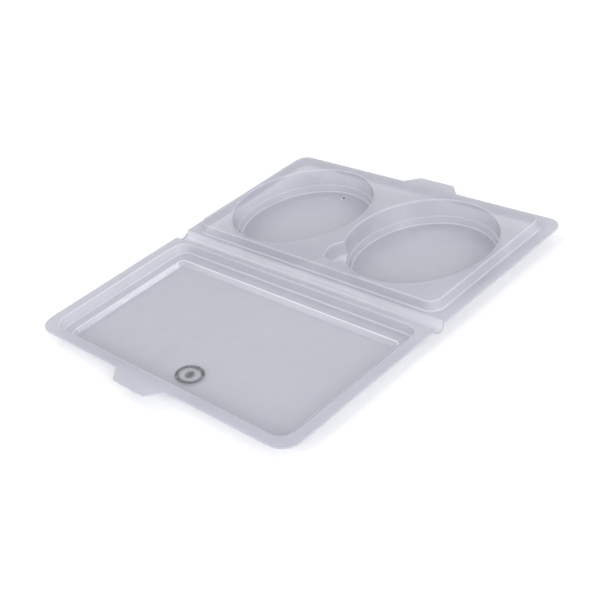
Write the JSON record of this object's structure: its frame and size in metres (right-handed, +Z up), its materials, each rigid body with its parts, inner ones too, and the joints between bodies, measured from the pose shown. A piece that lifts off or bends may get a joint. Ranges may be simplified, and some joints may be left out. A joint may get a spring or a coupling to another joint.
{
  "type": "contact lens case",
  "caption": "Clear thermoformed clamshell case shown open: raised deck with round wells and a finger notch, shallow tray lid, sunk living hinge bead and staggered pull tabs.",
  "frame": {"origin": "on the table under the middle of the fold line, which is the middle of the open case's footprint", "axes": "+X along the fold line, +Y from the fold line towards the base and its wells, +Z up; the case lies open"},
  "size_m": [0.1, 0.1164, 0.0079],
  "materials": {
    "clear_sheet": "clear, slightly grey-violet formed sheet, glossy",
    "print_ink": "dark grey pad print"
  },
  "bodies": {
    "base": {"base_flange": "clear_sheet", "base_pull_tab": "clear_sheet", "base_skirt": "clear_sheet", "base_deck": "clear_sheet", "left_well_wall": "clear_sheet", "left_well_step": "clear_sheet", "left_well_floor": "clear_sheet", "right_well_wall": "clear_sheet", "right_well_step": "clear_sheet", "right_well_floor": "clear_sheet", "finger_notch": "clear_sheet", "vent_pip": "clear_sheet"},
    "bead_base_side": {"hinge_leaf_base": "clear_sheet"},
    "bead_lid_side": {"hinge_leaf_lid": "clear_sheet"},
    "lid": {"lid_flange": "clear_sheet", "lid_pull_tab": "clear_sheet", "lid_rim_wall": "clear_sheet", "lid_ledge": "clear_sheet", "lid_window_wall": "clear_sheet", "lid_window": "clear_sheet", "printed_mark": "print_ink"}
  },
  "joints": [
    {"name": "bead_base_edge", "type": "hinge", "parent": "base", "child": "bead_base_side", "pos_m": [0, 0.0019, 0.005], "axis": [-1, 0, 0], "range_deg": [0, 38.29]},
    {"name": "lid_fold", "type": "hinge", "parent": "bead_base_side", "child": "bead_lid_side", "pos_m": [0, 0, 0.0035], "axis": [-1, 0, 0], "range_deg": [0, 103.42]},
    {"name": "bead_lid_edge", "type": "hinge", "parent": "bead_lid_side", "child": "lid", "pos_m": [0, -0.0019, 0.005], "axis": [-1, 0, 0], "range_deg": [0, 38.29]}
  ],
  "couplings": [
    {"joint": "bead_base_edge", "follows": "lid_fold", "ratio": 0.37024},
    {"joint": "bead_lid_edge", "follows": "lid_fold", "ratio": 0.37024}
  ]
}
